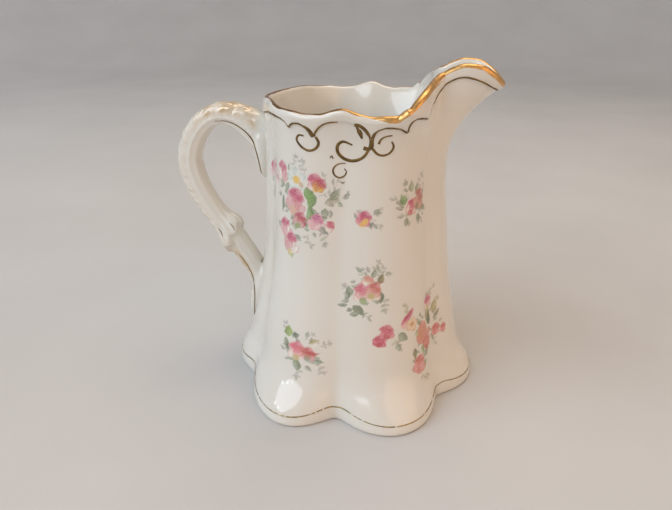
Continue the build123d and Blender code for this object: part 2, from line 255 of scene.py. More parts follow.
def make_body():
    angles = body_angles()
    rim = rim_height(angles)
    rows = []
    # Underside: recess, foot ring and the rounded lower edge of the foot.
    foot, _, _ = surface(angles, np.full(COLUMNS, FOOT_EDGE))
    foot_r = np.linalg.norm(foot[:, :2], axis=1)
    across = foot[:, :2] / foot_r[:, None]

    def ring(distance, height):
        rows.append(np.column_stack([across * np.maximum(distance, LEAST_RING)[:, None],
                                     np.full(COLUMNS, height)]))

    inner_ring = foot_r - FOOT_RING - FOOT_EDGE
    for share in np.linspace(0.01, 0.97, 10):
        ring(inner_ring * share, RECESS_DEPTH)
    for turn in np.linspace(0, pi / 2, 5):
        ring(inner_ring - RECESS_FILLET * (1 - sin(turn)), RECESS_DEPTH - RING_FILLET * (1 - cos(turn)))
    for turn in np.linspace(0, pi / 2, 5):
        ring(inner_ring + RING_FILLET * (1 - cos(turn)), RING_FILLET * (1 - sin(turn)))
    for share in (0.35, 0.7):
        ring(inner_ring + RING_FILLET + (FOOT_RING - RING_FILLET) * share, 0.0)
    for turn in np.linspace(0, pi / 2, 7)[:-1]:
        ring(foot_r - FOOT_EDGE * (1 - sin(turn)), FOOT_EDGE * (1 - cos(turn)))
    # Outer wall, with rows closer together towards the rim.
    half = WALL / 2
    shares = np.linspace(0, 1, OUTER_ROWS)
    shares = shares + RIM_CROWDING * np.sin(pi * shares) ** 2
    _, _, upward = surface(angles, rim - half)
    lip_base = rim - half * upward[:, 2]
    for share in shares:
        point, normal, upward = outer_point(angles, FOOT_EDGE + (lip_base - FOOT_EDGE) * share)
        rows.append(point)
    # Rounded lip, from the last outer point over to the inside.
    thick = WALL + BAND_RISE
    centre = point - normal * thick / 2
    for turn in np.linspace(0, pi, 13)[1:-1]:
        rows.append(centre + (normal * cos(turn) + upward * sin(turn)) * thick / 2)
    # Inner wall down to the floor, then the floor.
    wall_start = FLOOR_TOP + FLOOR_FILLET
    for share in np.linspace(1, 0, INNER_ROWS):
        height = wall_start + (lip_base - wall_start) * share
        point, normal, upward = surface(angles, height)
        rows.append(point - normal * WALL)
    out = rows[-1][:, :2]
    for turn in np.linspace(0, pi / 2, 7)[1:]:
        shrink = 1 - (1 - FLOOR_SHARE) * (1 - cos(turn))
        rows.append(np.column_stack([out * shrink, np.full(COLUMNS, wall_start - FLOOR_FILLET * sin(turn))]))
    for share in np.linspace(0.9, 0.01, 10):
        rows.append(np.column_stack([out * FLOOR_SHARE * share, np.full(COLUMNS, FLOOR_TOP)]))
    return make_object("jug_body", *capped(rows))


# ---- gilding ----
def band_along(points, across, normals, widths, lift, closed):
    """Closed ribbon with a domed back along a line of surface points. widths are half widths."""
    section = [(-1.0, -0.08), (-0.85, 0.45), (-0.5, 0.85), (0.0, 1.0), (0.5, 0.85), (0.85, 0.45),
               (1.0, -0.08), (0.0, -0.4)]
    vertices = []
    for share, rise in section:
        vertices.append(points + across * (widths * share)[:, None] + normals * (lift * rise))
    vertices = np.stack(vertices, axis=1).reshape(-1, 3)
    count, n = len(points), len(section)
    faces = grid_faces(count, n, wrap_rows=closed)
    if not closed:
        faces.append(tuple(range(n - 1, -1, -1)))
        faces.append(tuple((count - 1) * n + k for k in range(n)))
    return vertices, faces


def stroke(points, widths):
    """Gold stroke on the front surface through (x, height) points, with half widths along it."""
    path = smooth_path(points, 0.4)
    angle = front_angle(path[:, 0], path[:, 1])
    line, normal, _ = outer_point(angle, path[:, 1])
    along = unit(np.gradient(line, axis=0))
    across = unit(np.cross(normal, along))
    share = np.linspace(0, 1, len(path))
    half = np.interp(share, np.linspace(0, 1, len(widths)), widths)
    return band_along(line, across, normal, half, STROKE_LIFT, closed=False)


def join(parts):
    """One list of vertices and faces from several."""
    vertices, faces, start = [], [], 0
    for v, f in parts:
        vertices.append(v)
        faces += [tuple(start + k for k in face) for face in f]
        start += len(v)
    return np.vstack(vertices), faces


def both_sides(part):
    """The part and its mirror image at the back of the jug."""
    vertices, faces = part
    flipped = vertices * np.array([1, -1, 1])
    return join([(vertices, faces), (flipped, [face[::-1] for face in faces])])


STROKE_LIFT = 0.22
LINE = (0.28, 0.42, 0.42, 0.28)
# Pen strokes below the rim: (x, height) points, and half widths along them.
STROKES = [
    ([(-33.0, 109.0), (-29.0, 110.4), (-25.5, 111.0), (-21.6, 110.2), (-18.7, 108.0)], LINE),
    ([(-18.7, 108.0), (-17.4, 109.5), (-15.2, 109.9), (-12.6, 109.0), (-11.0, 107.6), (-10.1, 105.6)],
     (0.3, 0.4, 0.5, 0.75, 0.95)),
    ([(-10.2, 106.0), (-9.2, 107.6), (-7.6, 109.5), (-5.1, 110.9), (-1.6, 111.5)], (0.5, 0.42, 0.4, 0.25)),
    ([(-9.3, 105.6), (-8.4, 103.6), (-9.4, 101.6), (-11.9, 100.6), (-14.6, 101.6), (-16.3, 103.8),
      (-15.4, 105.6), (-13.6, 105.6)], (0.5, 0.5, 0.45, 0.5, 0.45, 0.3)),
    ([(3.9, 110.8), (5.6, 110.6), (7.4, 109.2), (8.8, 106.6), (8.9, 104.2), (8.2, 101.8), (6.3, 99.2),
      (3.2, 97.9), (0.0, 98.5), (-2.0, 100.6), (-2.0, 103.0), (-0.2, 104.4), (2.9, 103.4)],
     (0.75, 0.6, 0.45, 0.5, 0.6, 0.6, 0.55, 0.3)),
    ([(4.4, 110.2), (5.3, 108.4), (6.1, 105.9)], (0.4, 0.95, 0.35)),
    ([(6.6, 102.6), (8.0, 102.3), (9.4, 103.0), (9.5, 105.6), (10.4, 108.2), (12.7, 109.7), (15.4, 110.2),
      (18.2, 109.7), (20.6, 108.0)], (0.8, 0.5, 0.6, 0.45, 0.4, 0.4, 0.35)),
    ([(9.6, 102.4), (11.2, 100.6), (13.2, 100.1), (15.2, 101.0), (16.3, 103.0), (15.7, 105.0)],
     (0.5, 0.45, 0.4, 0.45, 0.3)),
    ([(11.6, 104.2), (12.2, 105.6), (13.6, 106.7), (15.9, 107.2)], (0.45, 0.3, 0.25)),
    ([(20.6, 108.0), (20.7, 109.8), (21.6, 111.9), (23.1, 113.0), (25.0, 112.9), (26.6, 111.7)], LINE),
    ([(26.6, 111.7), (27.0, 114.1), (28.0, 117.2), (29.6, 119.6), (32.4, 122.1), (36.9, 123.8), (41.6, 123.1),
      (45.4, 121.4), (49.1, 119.2)], (0.3, 0.36, 0.36, 0.3)),
    ([(0.6, 96.9), (-0.8, 96.8), (-2.6, 96.1), (-3.6, 94.4), (-3.0, 92.6), (-1.3, 91.8), (0.3, 92.6),
      (0.9, 94.0), (0.2, 95.0)], (0.16, 0.28, 0.34, 0.3, 0.2)),
    ([(-4.6, 98.6), (-4.0, 99.3), (-3.6, 98.3)], (0.2, 0.24, 0.16)),
    ([(-0.9, 90.4), (-0.3, 89.9), (0.3, 90.4)], (0.14, 0.2, 0.14)),
]


def make_shoulder_gilding():
    return make_object("shoulder_scrolls", *both_sides(join([stroke(*s) for s in STROKES])))


RIM_GOLD_DOME, RIM_GOLD_TUCK, RIM_GOLD_DEPTH = 0.07, 0.02, 0.3


def make_rim_gilding():
    """Gold along the crest of the lip: a thin line, and a broad band down the sides of the spout."""
    angles = body_angles()
    rim = rim_height(angles)
    _, _, upward = surface(angles, rim - WALL / 2)
    point, normal, upward = outer_point(angles, rim - WALL / 2 * upward[:, 2])
    half = (WALL + BAND_RISE) / 2
    centre = point - normal * half
    broad = ramp(7, 17, point[:, 0])
    wander = 0.12 * np.sin(9 * angles) + 0.08 * np.sin(23 * angles + 1) + 0.05 * np.sin(41 * angles + 2)
    start = np.radians(74 - 66 * broad) + wander
    end = np.radians(124 + 26 * broad) + 0.5 * wander
    loops = []

    def loop(share, reach):
        turn = (start + (end - start) * share)[:, None]
        loops.append(centre + (normal * np.cos(turn) + upward * np.sin(turn)) * reach)

    for share in np.linspace(0, 1, 13):
        loop(share, half + RIM_GOLD_DOME * sin(pi * share) ** 0.5 - RIM_GOLD_TUCK)
    for share in (0.75, 0.25):
        loop(share, half - RIM_GOLD_DEPTH)
    vertices = np.vstack(loops)
    return make_object("rim_gold", vertices, grid_faces(len(loops), COLUMNS, wrap_rows=True))


FOOT_LINE_LOW, FOOT_LINE_LIFT, FOOT_LINE_CUSP = 4.0, 2.5, 0.8
FOOT_LINE_HALF, FOOT_LINE_SWELL, FOOT_LINE_THICK = 0.24, 0.07, 0.14


def make_foot_gilding():
    """Thin gold line round the foot, rising over each flute with a small cusp at its middle."""
    angles = body_angles()
    off = np.abs(np.degrees(np.arctan2(np.sin(angles), np.cos(angles))))
    hollow = 1 - lobe(angles + foot_turn(off, 0.0) * np.sign(np.sin(angles)))
    height = FOOT_LINE_LOW + FOOT_LINE_LIFT * hollow ** 1.5 - FOOT_LINE_CUSP * hollow ** 12
    line, normal, _ = surface(angles, height)
    along = unit(np.roll(line, -1, axis=0) - np.roll(line, 1, axis=0))
    across = unit(np.cross(normal, along))
    half = FOOT_LINE_HALF + FOOT_LINE_SWELL * np.sin(11 * angles) * np.sin(4 * angles + 1)
    return make_object("foot_line", *band_along(line, across, normal, half, FOOT_LINE_THICK, closed=True))


# ---- handle ----
STRAP_STEP, STRAP_SIDES = 0.8, 64
STRAP_ROUNDNESS = 0.80           # below 1 the strap's section is squarer than an ellipse
VOXEL, SOFTEN_FACTOR, SOFTEN_ROUNDS = 0.36, 0.6, 14    # how the strap and its roots are blended


def ellipsoid(centre, axes, tilt):
    """Closed ellipsoid, tilted about the Y axis."""
    rows, count = [], ROOT_SIDES
    u = np.linspace(0, 2 * pi, count, endpoint=False)
    for v in np.linspace(0.02, pi - 0.02, count // 2):
        p = np.column_stack([axes[0] * sin(v) * np.cos(u), axes[1] * sin(v) * np.sin(u),
                             np.full(count, axes[2] * cos(v))])
        x = p[:, 0] * cos(tilt) + p[:, 2] * sin(tilt)
        z = -p[:, 0] * sin(tilt) + p[:, 2] * cos(tilt)
        rows.append(np.column_stack([x + centre[0], p[:, 1], z + centre[1]]))
    return capped(rows)


def make_handle():
    line = smooth_path(STRAP, STRAP_STEP)
    centre = np.column_stack([line[:, 0], np.zeros(len(line)), line[:, 1]])
    along = unit(np.gradient(centre, axis=0))
    outward = np.column_stack([along[:, 2], np.zeros(len(line)), -along[:, 0]])
    turn = np.linspace(0, 2 * pi, STRAP_SIDES, endpoint=False)
    thick, wide = np.cos(turn), np.sin(turn)
    thick = np.sign(thick) * np.abs(thick) ** STRAP_ROUNDNESS
    wide = np.sign(wide) * np.abs(wide) ** STRAP_ROUNDNESS
    rows = []
    for c, o, a, b in zip(centre, outward, line[:, 2], line[:, 3]):
        rows.append(c + np.outer(thick * a, o) + np.outer(wide * b, (0, 1, 0)))
    parts = [capped(rows)]
    for x, z, semi_y, semi_z, tilt in UPPER_ROOT, LOWER_ROOT:
        parts.append(ellipsoid((x, z), (ROOT_DEPTH, semi_y, semi_z), tilt))
    obj = make_object("handle_strap", *join(parts))
    obj.data.validate()
    modifier = obj.modifiers.new("blend", "REMESH")
    modifier.mode = "VOXEL"
    modifier.voxel_size = VOXEL * MM
    modifier = obj.modifiers.new("soften", "SMOOTH")
    modifier.factor, modifier.iterations = SOFTEN_FACTOR, SOFTEN_ROUNDS
    apply_modifiers(obj)
    shape_handle(obj, line, centre, along, outward)
    return obj


def apply_modifiers(obj):
    """Replaces the object's mesh by its evaluated one."""
    bpy.context.view_layer.update()
    evaluated = obj.evaluated_get(bpy.context.evaluated_depsgraph_get())
    mesh = bpy.data.meshes.new_from_object(evaluated)
    obj.modifiers.clear()
    obj.data = mesh
    mesh.polygons.foreach_set("use_smooth", [True] * len(mesh.polygons))


def per_vertex(obj, key):
    """One row of three numbers for each vertex."""
    values = np.empty(len(obj.data.vertices) * 3)
    obj.data.vertices.foreach_get(key, values)
    return values.reshape(-1, 3)


def set_vertices(obj, vertices):
    obj.data.vertices.foreach_set("co", (vertices * MM).ravel())
    obj.data.update()


# Leaves that spread the strap's ends over the body: (centre x, centre height, semi-axes Y and Z, tilt).
UPPER_ROOT = (-37.0, 92.4, 6.8, 12.0, radians(-5))
LOWER_ROOT = (-40.6, 30.0, 7.0, 14.5, radians(11))
ROOT_DEPTH, ROOT_SIDES, ROOT_VEINS, ROOT_RIM, ROOT_SINK = 4.8, 48, 0.18, 0.40, 1.3
KNUCKLE = (-51.8, 53.6)          # middle of the leaf cuff near the foot of the strap: x, height
CUFF_HEIGHT, CUFF_SLANT, CUFF_SCALLOP, CUFF_VEINS, CUFF_SHIFT = 1.75, 3.4, 0.9, 0.22, 0.8
LEAF_STEP = 6.4                  # distance between leaf tips along the back of the strap
LEAF_SWEEP = 4.6                 # how far a leaf's edges lie behind its tip
LEAF_RELIEF, LEAF_RIPPLE, LEAF_MIDRIB, LEAF_VEINS = 0.24, 0.12, 0.10, 0.08
EDGE_RIDGE, EDGE_BEADS, BEAD_STEP, INNER_RIDGE = 0.30, 0.08, 1.6, 0.22
GRIP_START, GRIP_END, GRIP_GILT = 24, 38, 0.25   # stretch over which the gold wears off, and what is left


def shape_handle(obj, line, centre, along, outward):
    """Overlapping leaves down the strap's back, beaded edges, a leaf cuff and rimmed roots."""
    p, n = per_vertex(obj, "co") / MM, per_vertex(obj, "normal")
    nearest = np.array([np.argmin((centre[:, 0] - x) ** 2 + (centre[:, 2] - z) ** 2) for x, y, z in p])
    run = np.concatenate(([0], np.cumsum(np.linalg.norm(np.diff(centre, axis=0), axis=1))))
    s = run[nearest] + np.sum((p - centre[nearest]) * along[nearest], axis=1)
    back = np.sum((p - centre[nearest]) * outward[nearest], axis=1) / line[nearest, 2]
    side = p[:, 1] / line[nearest, 3]
    wide = np.abs(side)
    # 1 where the strap is well clear of the wall, 0 where it lies on it.
    off_wall = np.linalg.norm(p[:, :2], axis=1) - radius(np.arctan2(p[:, 1], p[:, 0]), p[:, 2])
    clear = ramp(1.5, 6.0, off_wall)
    cuff_at = run[np.argmin((centre[:, 0] - KNUCKLE[0]) ** 2 + (centre[:, 2] - KNUCKLE[1]) ** 2)]
    around = np.arctan2(side, back)
    t = s - cuff_at + CUFF_SHIFT - CUFF_SLANT * np.clip(back, -1, 1) + CUFF_SCALLOP * np.cos(7 * around)
    cuff = CUFF_HEIGHT * ramp(-9, -0.8, t) ** 1.5 * (1 - ramp(-0.4, 1.5, t)) * clear
    veins = CUFF_VEINS * np.sin(13 * around) * ramp(-12, -6, t) * (1 - ramp(-1.5, 0.5, t)) * clear
    # Leaves overlap downwards: each rises slowly and drops at its pointed tip.
    on_back = ramp(-0.15, 0.35, back) * clear * (1 - ramp(-13, -8, t))
    phase = ((s - LEAF_SWEEP * wide + 0.5 * np.sin(side * 5)) / LEAF_STEP) % 1.0
    leaf = phase * (1 - ramp(0.66, 1.0, phase))
    relief = LEAF_RELIEF * (leaf - 0.25) * on_back
    relief += LEAF_RIPPLE * np.sin(s * 1.7 + 2.2 * side) * np.sin(side * 7 + s * 0.6) * on_back
    relief += LEAF_MIDRIB * np.exp(-(side / 0.14) ** 2) * on_back
    relief += LEAF_VEINS * np.sin(side * 16 + phase * 5) * on_back * ramp(0.15, 0.4, wide)
    # A beaded ridge parts the leafy back from the plain sides; another edges the inside.
    ridge = np.exp(-((back + 0.22) / 0.12) ** 2) * ramp(0.5, 0.9, wide)
    relief += (EDGE_RIDGE + EDGE_BEADS * np.sin(s * 2 * pi / BEAD_STEP)) * ridge * clear
    relief += INNER_RIDGE * np.exp(-((back + 0.72) / 0.10) ** 2) * ramp(0.3, 0.7, wide) * clear
    # Rims round the two leaf roots where they lie on the body.
    root_rim = np.zeros(len(p))
    for centre_x, centre_z, semi_y, semi_z, tilt in UPPER_ROOT, LOWER_ROOT:
        along_leaf = (p[:, 2] - centre_z) * cos(tilt) + (p[:, 0] - centre_x) * sin(tilt)
        edge = np.hypot(p[:, 1] / semi_y, along_leaf / semi_z)
        root_rim = np.maximum(root_rim, np.exp(-((edge - 0.80) / 0.07) ** 2))
        veined = np.cos(along_leaf * 1.5 - 3.0 * np.abs(p[:, 1])) * (edge < 0.74)
        relief += ROOT_VEINS * veined * (1 - clear)
    relief += ROOT_RIM * root_rim * (1 - clear)
    p = p + n * (relief + cuff + veins)[:, None]
    angle, reach = np.arctan2(p[:, 1], p[:, 0]), np.linalg.norm(p[:, :2], axis=1)
    least = radius(angle, p[:, 2]) - ROOT_SINK
    grow = np.where(reach < least, least / reach, 1.0)
    p[:, :2] *= grow[:, None]
    set_vertices(obj, p)
    dabs = 0.45 + 0.55 * ramp(0.15, 0.75, phase) * (1 - ramp(0.78, 0.98, phase))
    # The gold has rubbed off where the hand holds the strap, and lasts towards the roots.
    near_root = np.maximum(1 - ramp(GRIP_START, GRIP_END, s), ramp(-2, 6, t))
    kept = GRIP_GILT + (1 - GRIP_GILT) * near_root
    gilt = ramp(-0.15, 0.35, back) * clear * kept * (0.65 + 0.35 * dabs)
    share = obj.data.attributes.new("gilt", "FLOAT", "POINT")
    share.data.foreach_set("value", gilt)


# Gold lines on the side of the handle, through (x, height) points, with half widths along them.
HANDLE_LINES = [
    ([(-56.0, 103.2), (-51.2, 103.4), (-46.2, 101.6), (-42.0, 98.2), (-39.4, 93.4), (-38.2, 88.0),
      (-38.0, 83.6)], (0.12, 0.26, 0.34, 0.34, 0.2)),
    ([(-57.4, 58.6), (-56.2, 57.2), (-55.6, 55.4)], (0.12, 0.3, 0.12)),
    ([(-52.4, 61.4), (-51.0, 60.4), (-50.0, 58.8)], (0.1, 0.2, 0.1)),
    ([(-49.0, 47.4), (-45.6, 42.6), (-43.2, 37.0), (-42.2, 31.0), (-42.6, 24.6), (-43.6, 18.6)],
     (0.12, 0.26, 0.28, 0.2)),
    ([(-41.6, 47.0), (-40.6, 45.4), (-40.0, 43.4)], (0.2, 0.4, 0.2)),
]


def make_handle_lines(handle):
    """Thin gold lines drawn on the finished surface of the handle."""
    tree = BVHTree.FromObject(handle, bpy.context.evaluated_depsgraph_get())
    parts = []
    for marks, widths in HANDLE_LINES:
        points, normals = [], []
        for x, height in smooth_path(marks, 0.4):
            hit, normal, _, _ = tree.ray_cast(Vector((x, -20, height)) * MM, Vector((0, 1, 0)), 0.03)
            if hit is not None and hit.y < 0:
                points.append(np.array(hit) / MM)
                normals.append(np.array(normal))
        points, normals = np.array(points), np.array(normals)
        for _ in range(6):
            points[1:-1] = (points[:-2] + 2 * points[1:-1] + points[2:]) / 4
            normals[1:-1] = (normals[:-2] + 2 * normals[1:-1] + normals[2:]) / 4
        normals = unit(normals)
        across = unit(np.cross(normals, unit(np.gradient(points, axis=0))))
        half = np.interp(np.linspace(0, 1, len(points)), np.linspace(0, 1, len(widths)), widths)
        parts.append(band_along(points, across, normals, half, 0.2, closed=False))
    return make_object("handle_gold_lines", *both_sides(join(parts)))


# ---- transfer prints ----
ROSE, BLUSH, MAGENTA, RED = (0.64, 0.11, 0.19), (0.80, 0.42, 0.44), (0.46, 0.025, 0.13), (0.52, 0.05, 0.06)
CORAL, RUST = (0.66, 0.20, 0.15), (0.38, 0.08, 0.04)
YELLOW, AMBER, CREAM = (0.84, 0.52, 0.07), (0.62, 0.28, 0.06), (0.90, 0.86, 0.76)
LEAF, DARK_LEAF, MOSS = (0.20, 0.37, 0.09), (0.08, 0.14, 0.05), (0.24, 0.21, 0.05)
SAGE, GREY, STRAW = (0.27, 0.33, 0.19), (0.30, 0.30, 0.23), (0.55, 0.46, 0.14)
PRINT_SCALE = 36.0               # millimetres of the print for each radian round the body
PRINT_SPACING, PRINT_LIFT = 0.18, 0.05   # grid of the painted patch, and its height off the body
LEAST_COVER = 0.012              # paint thinner than this gets no mesh
PETALS, STAMENS = 5, 7           # of an open blossom


class Print:
    """Paint laid on a patch of the body, in millimetres round and up it."""

    def __init__(self, low, high, seed):
        self.low = np.array((radians(low[0]) * PRINT_SCALE, low[1]))
        self.high = np.array((radians(high[0]) * PRINT_SCALE, high[1]))
        counts = ((self.high - self.low) / PRINT_SPACING).astype(int) + 1
        self.s, self.z = np.meshgrid(np.linspace(self.low[0], self.high[0], counts[0]),
                                     np.linspace(self.low[1], self.high[1], counts[1]))
        self.colour = np.ones(self.s.shape + (3,))
        self.cover = np.zeros(self.s.shape)
        self.random = np.random.RandomState(seed)
        self.wobble_s, self.wobble_z = self.waves(), self.waves()
        self.mottle = 0.5 + 0.5 * self.waves(3.2)

    def waves(self, scale=1.6):
        """Smooth random field between about -1 and 1."""
        total = np.zeros(self.s.shape)
        for _ in range(9):
            turn, phase = self.random.uniform(0, 2 * pi, 2)
            size = scale * self.random.uniform(0.5, 1.6)
            total += np.sin((self.s * cos(turn) + self.z * sin(turn)) / size * 2 + phase)
        return total / 3.5

    def lay(self, colour, amount):
        """Paints colour over what is there."""
        amount = np.clip(amount, 0, 1)
        total = amount + self.cover * (1 - amount)
        share = np.where(total > 0, amount / np.maximum(total, 1e-6), 0)[..., None]
        self.colour = np.array(colour) * share + self.colour * (1 - share)
        self.cover = total

    def local(self, at, turn, wobble=0.18):
        """Coordinates along and across a direction from a point (degrees round, height)."""
        s = self.s - radians(at[0]) * PRINT_SCALE + wobble * self.wobble_s
        z = self.z - at[1] + wobble * self.wobble_z
        a = radians(turn)
        return s * cos(a) + z * sin(a), -s * sin(a) + z * cos(a)

    def drop(self, at, length, width, turn, colour, strength=0.8, soft=0.25, point=0.8):
        """A petal or leaf that grows from a point along a direction."""
        p, q = self.local(at, turn)
        share = np.clip(p / length, 0, 1)
        edge = width * np.sin(pi * share ** point) - np.abs(q)
        amount = ramp(-soft * 0.5, soft, edge) * ramp(-0.1, 0.15, p)
        amount = amount * (1 - ramp(length - 0.1, length + 0.1, p))
        self.lay(colour, amount * strength * (0.72 + 0.28 * self.mottle))
        return p, q, amount

    def line(self, start, end, width, colour, strength=0.6):
        """A thin pen line."""
        a = np.array((radians(start[0]) * PRINT_SCALE, start[1]))
        b = np.array((radians(end[0]) * PRINT_SCALE, end[1]))
        length = np.linalg.norm(b - a)
        p, q = self.local(start, np.degrees(np.arctan2(b[1] - a[1], b[0] - a[0])), 0.3)
        amount = ramp(-0.12, 0.08, width - np.abs(q)) * ramp(-0.1, 0.2, p)
        amount = amount * (1 - ramp(length - 0.2, length + 0.1, p))
        self.lay(colour, amount * strength)

    def leaf(self, at, length, width, turn, colour=SAGE, strength=0.9):
        p, q, amount = self.drop(at, length, width, turn, colour, strength, soft=0.3)
        shade = tuple(0.45 * c for c in colour)
        self.lay(shade, amount * ramp(0.05, 0.5, q / width) * 0.55)
        self.lay(shade, amount * ramp(-0.16, 0.0, -np.abs(q)) * 0.7)

    def leaves(self, *rows):
        """Leaves from rows of degrees round, height, length, half width, direction, colour and strength."""
        for s, z, *rest in rows:
            self.leaf((s, z), *rest)

    def sprigs(self, colour, strength, *rows):
        """Sprigs from rows of degrees round, height, direction and size."""
        for s, z, turn, size in rows:
            self.sprig((s, z), turn, size, colour, strength)

    def sprig(self, at, turn, size, colour=GREY, strength=0.62):
        """A faint cluster of small leaves along a bent stem."""
        way, s, z = turn, at[0], at[1]
        for k in range(3):
            step = size * 0.3
            way += self.random.uniform(-25, 25)
            s1 = s + np.degrees(step * cos(radians(way)) / PRINT_SCALE)
            z1 = z + step * sin(radians(way))
            self.line((s, z), (s1, z1), 0.13, colour, strength * 0.8)
            s, z = s1, z1
            for side in (-1, 1):
                if self.random.uniform() < 0.85:
                    bend = way + side * self.random.uniform(35, 80)
                    length = size * self.random.uniform(0.28, 0.45)
                    tint = tuple(c * self.random.uniform(0.8, 1.25) for c in colour)
                    self.drop((s, z), length, length * self.random.uniform(0.20, 0.34), bend, tint,
                              strength * self.random.uniform(0.7, 1.2), soft=0.35)
        self.drop((s, z), size * 0.4, size * 0.11, way, colour, strength, soft=0.3)

    def foliage(self, at, reach, count, colours=(SAGE, GREY)):
        """Small pale leaves scattered loosely round a point, pointing away from it."""
        for k in range(count):
            turn = self.random.uniform(0, 360)
            far = reach * self.random.uniform(0.35, 1.0)
            a = radians(turn)
            place = (at[0] + np.degrees(far * cos(a) / PRINT_SCALE), at[1] + far * sin(a))
            size = self.random.uniform(2.0, 3.6)
            turn += self.random.uniform(-50, 50)
            tint = colours[k % len(colours)]
            self.leaf(place, size, 0.30 * size, turn, tint, self.random.uniform(0.35, 0.65))

    def petal(self, at, length, width, turn, colour, rim, strength=0.85):
        """A petal with a deeper rim along its far edge."""
        p, q = self.local(at, turn, 0.14)
        share = np.clip(p / length, 0, 1)
        edge = width * np.sin(pi * share ** 1.5) ** 0.8 - np.abs(q)
        inside = ramp(-0.12, 0.22, edge) * ramp(-0.1, 0.15, p) * (1 - ramp(length - 0.15, length + 0.05, p))
        self.lay(colour, inside * strength)
        near_rim = 1 - ramp(0.10, 0.80, np.minimum(edge, (length - p) * 0.9))
        self.lay(rim, inside * near_rim * ramp(0.30, 0.75, share) * (0.55 + 0.45 * self.mottle) * 0.85)
        streak = ramp(0.3, 1.0, np.sin(q * 7 + 2 * self.wobble_z)) * (1 - ramp(0.4, 0.9, share))
        self.lay(rim, inside * streak * 0.3)

    def blossom(self, at, size, turn, outer, inner, heart=YELLOW):
        """Open flower: pale petals, deeper towards their edges on one side, with a dotted heart."""
        for k in range(PETALS):
            way = turn + 360 * k / PETALS
            p, q, amount = self.drop(at, size, 0.42 * size, way, outer, 0.85, soft=0.3, point=1.25)
            self.lay(inner, amount * ramp(0.55 * size, size, p) * (0.45 + 0.4 * self.mottle))
            self.lay(inner, amount * ramp(0.1, 0.42 * size, q) * 0.35)
        p, q = self.local(at, 0)
        distance = np.hypot(p, q)
        self.lay(heart, (1 - ramp(0.16 * size, 0.34 * size, distance)) * 0.9)
        for k in range(STAMENS):
            way, far = 2 * pi * k / STAMENS + 0.4, 0.3 * size
            spot = np.hypot(p - far * cos(way), q - far * sin(way))
            self.lay(AMBER, (1 - ramp(0.10, 0.24, spot)) * 0.8)

    def rose(self, at, size, turn=90.0, deep=MAGENTA, outer=ROSE, pale=CREAM, foot=YELLOW, long=1.3):
        """Half-open rose from the side: petals fan up from its foot, under a dark cap of turned ones."""
        a = radians(turn)
        reach = long * size
        base = (at[0] - np.degrees(reach * cos(a) / PRINT_SCALE), at[1] - reach * sin(a))
        warm = tuple(0.45 * x + 0.55 * y for x, y in zip(pale, outer))
        for bend, share in ((-42, 0.84), (40, 0.80), (-20, 1.0), (22, 0.98)):
            jitter = self.random.uniform(-8, 8)
            tint = pale if self.random.uniform() < 0.5 else warm
            self.petal(base, reach * share, 0.32 * size, turn + bend + jitter, tint, outer)
        self.petal(base, reach * 0.96, 0.36 * size, turn + self.random.uniform(-8, 8), warm, outer)
        p, q = self.local(base, turn, 0.16)
        self.lay(foot, ramp(-0.2, 0.35, 0.30 * size - np.hypot(p - 0.22 * size, q)) * 0.7)
        p, q = self.local(at, turn, 0.20)
        p, q = p / size, q / size
        lean = self.random.uniform(-0.12, 0.12)
        curls = ((lean, 0.06, 0.62, 0.24, 0.95), (0.28 + lean, -0.16, 0.32, 0.16, 0.85),
                 (-0.28 + lean, -0.22, 0.30, 0.15, 0.75), (0.05, -0.42, 0.24, 0.12, 0.6))
        for side, height, half, thick, strength in curls:
            across = q - side
            edge = thick * (1 - (across / half) ** 2) - np.abs(p - height + 0.5 * across * across)
            self.lay(outer, ramp(-0.16, 0.04, edge) * strength * 0.8)
            self.lay(deep, ramp(0.0, 0.14, edge) * strength * (0.6 + 0.4 * self.mottle))
        glint = (p - 0.12) ** 2 * 30 + (q - lean + 0.2) ** 2 * 12
        self.lay(BLUSH, (1 - ramp(0.3, 1.0, glint)) * 0.5)

    def mesh(self):
        """Vertices, faces, colours and cover of the painted patch on the front of the body."""
        painted = self.cover > LEAST_COVER
        cells = painted[:-1, :-1] | painted[1:, :-1] | painted[:-1, 1:] | painted[1:, 1:]
        wide = cells.copy()
        for shift in (-1, 1):
            wide |= np.roll(cells, shift, 0) | np.roll(cells, shift, 1)
        rows, columns = np.nonzero(wide)
        width = self.s.shape[1]
        first = rows * width + columns
        quads = np.column_stack([first, first + 1, first + width + 1, first + width])
        used, index = np.unique(quads, return_inverse=True)
        s, z = self.s.ravel()[used], self.z.ravel()[used]
        point, normal, _ = surface(s / PRINT_SCALE, z)
        vertices = point + normal * PRINT_LIFT
        faces = [tuple(face) for face in index.reshape(-1, 4).tolist()]
        return vertices, faces, self.colour.reshape(-1, 3)[used], self.cover.ravel()[used]


